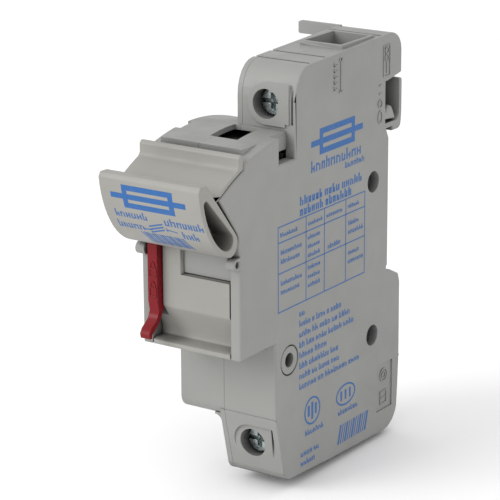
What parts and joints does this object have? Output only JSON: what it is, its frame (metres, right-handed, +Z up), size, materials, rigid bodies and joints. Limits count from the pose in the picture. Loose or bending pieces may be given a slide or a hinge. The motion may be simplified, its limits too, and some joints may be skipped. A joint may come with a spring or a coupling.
{
  "type": "modular fuse holder",
  "caption": "Rail-mounted fuse holder with a swing-out carrier, pull handle, red lock lever and screw clamp terminals above and below, holding a cylindrical cartridge fuse.",
  "frame": {"origin": "middle of the flat rear seat that rests on the rail, halfway across the holder's width", "axes": "+X along the rail to the side with the narrow terminal blocks flush with it, +Y back into the rail, +Z up"},
  "size_m": [0.0264, 0.0834, 0.0991],
  "materials": {
    "grey_plastic": "fine matte moulding",
    "warm_grey_plastic": "fine matte moulding",
    "red_plastic": "matte moulding",
    "cover_plastic": "smooth moulding",
    "zinc_steel": "bright zinc plating",
    "spring_steel": "drawn",
    "tinned_copper": "dull tin plating",
    "silver": "rolled strip",
    "ceramic": null,
    "sand": null
  },
  "bodies": {
    "holder": {"housing_right": "grey_plastic", "housing_left": "grey_plastic", "rivet_upper": "zinc_steel", "rivet_lower": "zinc_steel", "top_contact": "tinned_copper", "bottom_contact": "tinned_copper", "top_jaw_spring": "spring_steel", "bottom_jaw_spring": "spring_steel", "rail_clip_spring": "spring_steel"},
    "clip": {"rail_clip": "grey_plastic"},
    "carrier": {"carrier_handle": "warm_grey_plastic", "carrier_cradle": "grey_plastic", "blank_cover": "cover_plastic", "lever_pin": "zinc_steel", "lever_spring": "spring_steel", "fuse_tube": "ceramic", "fuse_cap_top": "tinned_copper", "fuse_cap_bottom": "tinned_copper", "fuse_element": "silver", "fuse_sand": "sand"},
    "lever": {"lock_lever": "red_plastic"},
    "top_screw": {"top_terminal_screw": "zinc_steel"},
    "top_cage": {"top_clamp_cage": "zinc_steel"},
    "bottom_screw": {"bottom_terminal_screw": "zinc_steel"},
    "bottom_cage": {"bottom_clamp_cage": "zinc_steel"}
  },
  "joints": [
    {"name": "carrier_hinge", "type": "hinge", "parent": "holder", "child": "carrier", "pos_m": [0, -0.0428, -0.0275], "axis": [1, 0, 0], "range_deg": [0, 50]},
    {"name": "lever_hinge", "type": "hinge", "parent": "carrier", "child": "lever", "pos_m": [-0.009, -0.0616, 0.0034], "axis": [-1, 0, 0], "range_deg": [0, 14], "stiffness_Nm_per_rad": 0.01, "springref_deg": -17.19},
    {"name": "clip_slide", "type": "slide", "parent": "holder", "child": "clip", "axis": [0, 0, -1], "range_m": [0, 0.004], "stiffness_N_per_m": 1500, "springref_m": -0.002, "deforming": ["rail_clip_spring"]},
    {"name": "top_screw_turn", "type": "hinge", "parent": "holder", "child": "top_screw", "pos_m": [0.0055, -0.03, 0.0303], "axis": [0, 1, 0], "range_deg": [0, 3600]},
    {"name": "top_cage_slide", "type": "slide", "parent": "holder", "child": "top_cage", "axis": [0, -1, 0], "range_m": [0, 0.008]},
    {"name": "bottom_screw_turn", "type": "hinge", "parent": "holder", "child": "bottom_screw", "pos_m": [0.0055, -0.036, -0.0478], "axis": [0, 1, 0], "range_deg": [0, 3600]},
    {"name": "bottom_cage_slide", "type": "slide", "parent": "holder", "child": "bottom_cage", "axis": [0, -1, 0], "range_m": [0, 0.008]}
  ],
  "couplings": [
    {"joint": "top_screw_turn", "follows": "top_cage_slide", "rad_per_m": 7854},
    {"joint": "bottom_screw_turn", "follows": "bottom_cage_slide", "rad_per_m": 7854}
  ]
}
